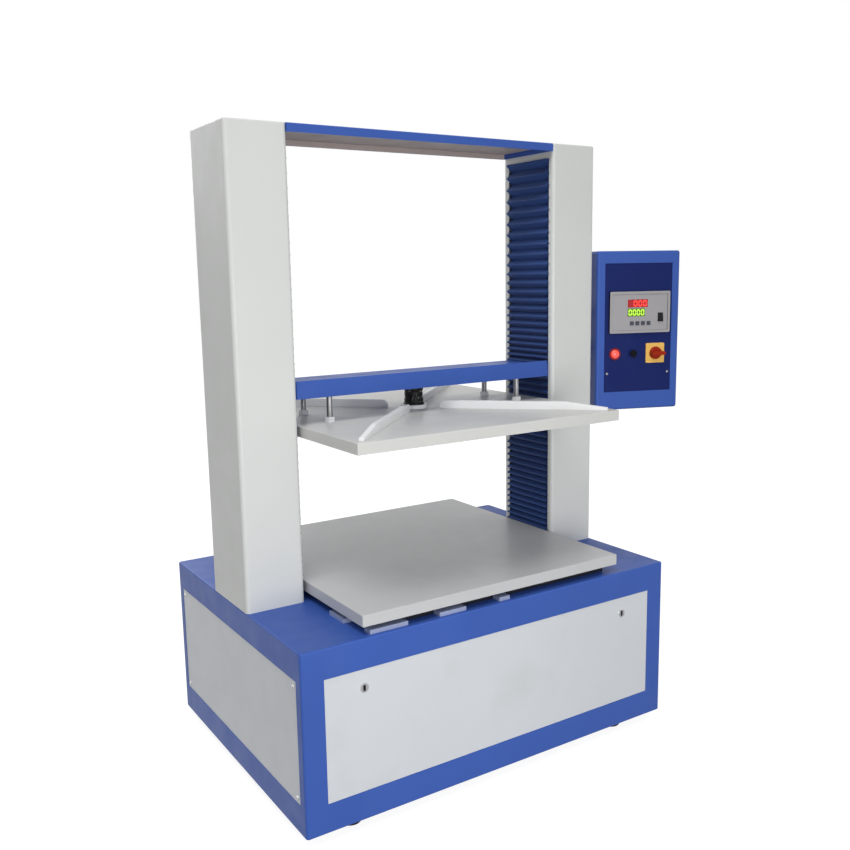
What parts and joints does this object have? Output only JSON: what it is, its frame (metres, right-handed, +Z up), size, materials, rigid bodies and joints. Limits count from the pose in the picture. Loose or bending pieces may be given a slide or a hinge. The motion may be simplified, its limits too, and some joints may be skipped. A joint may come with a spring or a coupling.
{
  "type": "box compression tester",
  "caption": "Two-column box compression tester: cabinet base, bellows-covered columns, belt-driven screws, crosshead with load cell and platen, swivelling control box.",
  "frame": {"origin": "centre of the lower platen's top face, between the two columns", "axes": "+Z up along the columns, +Y from the operator towards the back, +X towards the column that carries the control box"},
  "size_m": [1.1471, 0.658, 1.31],
  "materials": {
    "frame_blue": "smooth satin enamel",
    "pale_grey": "satin powder coat",
    "platen_metal": "fine satin",
    "bellows_cloth": "coated pleated cloth",
    "steel": "turned",
    "chrome_rod": "ground and chromed",
    "dark_steel": "matt",
    "bronze": "machined",
    "black_rubber": "matt",
    "motor_grey": "painted casting",
    "fascia_navy": "satin enamel",
    "black_plastic": "moulded",
    "meter_grey": "moulded",
    "meter_lens": "tinted window",
    "key_grey": "moulded",
    "lamp_red": "clear red lens",
    "knob_red": "moulded",
    "plate_yellow": "moulded"
  },
  "bodies": {
    "frame": {"base_pan": "frame_blue", "base_top_cover": "frame_blue", "corner_posts": "frame_blue", "front_panel": "pale_grey", "rear_panel": "pale_grey", "left_panel": "pale_grey", "right_panel": "pale_grey", "panel_screws": "steel", "rubber_feet": "black_rubber", "mains_inlet": "black_plastic", "left_column_cover": "pale_grey", "right_column_cover": "pale_grey", "column_end_plates": "steel", "top_beam": "frame_blue", "top_beam_liner": "pale_grey", "screw_bearings": "steel", "guide_shafts": "chrome_rod", "lower_platen": "platen_metal", "platen_supports": "dark_steel", "platen_shims": "pale_grey", "left_upper_bellows": "bellows_cloth", "left_lower_bellows": "bellows_cloth", "right_upper_bellows": "bellows_cloth", "right_lower_bellows": "bellows_cloth", "motor": "motor_grey", "drive_belt": "black_rubber", "swivel_bracket": "frame_blue"},
    "crosshead": {"crosshead_beam": "frame_blue", "carriages": "steel", "screw_nuts": "bronze", "guide_bushes": "bronze", "load_cell": "steel", "load_cell_boot": "black_rubber", "platen_guide_rods": "chrome_rod", "rod_nuts": "steel", "upper_platen": "platen_metal", "platen_ribs": "pale_grey"},
    "left_screw": {"left_lead_screw": "steel", "left_screw_pulley": "steel"},
    "right_screw": {"right_lead_screw": "steel", "right_screw_pulley": "steel"},
    "motor_shaft": {"motor_pulley": "steel"},
    "left_lock": {"left_panel_lock": "chrome_rod"},
    "right_lock": {"right_panel_lock": "chrome_rod"},
    "control_head": {"hinge_lug": "frame_blue", "control_box": "frame_blue", "control_fascia": "fascia_navy", "fascia_screws": "steel", "indicator_housing": "black_plastic", "indicator_face": "meter_grey", "indicator_lenses": "meter_lens", "pilot_lamp": "lamp_red", "switch_plate": "plate_yellow"},
    "key_1": {"indicator_key_1": "key_grey"},
    "key_2": {"indicator_key_2": "key_grey"},
    "key_3": {"indicator_key_3": "key_grey"},
    "key_4": {"indicator_key_4": "key_grey"},
    "rocker": {"rocker_switch": "black_plastic"},
    "button": {"push_button": "black_plastic"},
    "knob": {"switch_knob": "knob_red"}
  },
  "joints": [
    {"name": "crosshead_slide", "type": "slide", "parent": "frame", "child": "crosshead", "axis": [0, 0, 1], "range_m": [-0.286, 0.4], "deforming": ["left_upper_bellows", "right_upper_bellows", "left_lower_bellows", "right_lower_bellows"]},
    {"name": "left_screw_spin", "type": "hinge", "parent": "frame", "child": "left_screw", "pos_m": [-0.3935, 0, 0], "axis": [0, 0, 1], "continuous": true},
    {"name": "right_screw_spin", "type": "hinge", "parent": "frame", "child": "right_screw", "pos_m": [0.3935, 0, 0], "axis": [0, 0, 1], "continuous": true},
    {"name": "motor_spin", "type": "hinge", "parent": "frame", "child": "motor_shaft", "pos_m": [0, 0.13, 0], "axis": [0, 0, 1], "continuous": true},
    {"name": "left_lock_turn", "type": "hinge", "parent": "frame", "child": "left_lock", "pos_m": [-0.324, -0.3265, -0.133], "axis": [0, -1, 0], "range_deg": [0, 90]},
    {"name": "right_lock_turn", "type": "hinge", "parent": "frame", "child": "right_lock", "pos_m": [0.324, -0.3265, -0.133], "axis": [0, -1, 0], "range_deg": [-90, 0]},
    {"name": "control_swivel", "type": "hinge", "parent": "frame", "child": "control_head", "pos_m": [0.517, 0.02054, 0.466], "axis": [0, 0, 1], "range_deg": [-5, 70]},
    {"name": "rocker_tip", "type": "hinge", "parent": "control_head", "child": "rocker", "pos_m": [0.61516, -0.14981, 0.4995], "axis": [0.9397, -0.342, 0], "range_deg": [0, 16]},
    {"name": "button_press", "type": "slide", "parent": "control_head", "child": "button", "axis": [0.342, 0.9397, 0], "range_m": [0, 0.004], "stiffness_N_per_m": 800, "springref_m": -0.001},
    {"name": "knob_turn", "type": "hinge", "parent": "control_head", "child": "knob", "pos_m": [0.60718, -0.14105, 0.413], "axis": [-0.342, -0.9397, 0], "range_deg": [0, 90]},
    {"name": "key_1_press", "type": "slide", "parent": "control_head", "child": "key_1", "axis": [0.342, 0.9397, 0], "range_m": [0, 0.001], "stiffness_N_per_m": 2000, "springref_m": -0.0005},
    {"name": "key_2_press", "type": "slide", "parent": "control_head", "child": "key_2", "axis": [0.342, 0.9397, 0], "range_m": [0, 0.001], "stiffness_N_per_m": 2000, "springref_m": -0.0005},
    {"name": "key_3_press", "type": "slide", "parent": "control_head", "child": "key_3", "axis": [0.342, 0.9397, 0], "range_m": [0, 0.001], "stiffness_N_per_m": 2000, "springref_m": -0.0005},
    {"name": "key_4_press", "type": "slide", "parent": "control_head", "child": "key_4", "axis": [0.342, 0.9397, 0], "range_m": [0, 0.001], "stiffness_N_per_m": 2000, "springref_m": -0.0005}
  ],
  "couplings": [
    {"joint": "left_screw_spin", "follows": "crosshead_slide", "rad_per_m": -628.32},
    {"joint": "right_screw_spin", "follows": "crosshead_slide", "rad_per_m": -628.32},
    {"joint": "motor_spin", "follows": "crosshead_slide", "rad_per_m": -942.48}
  ]
}
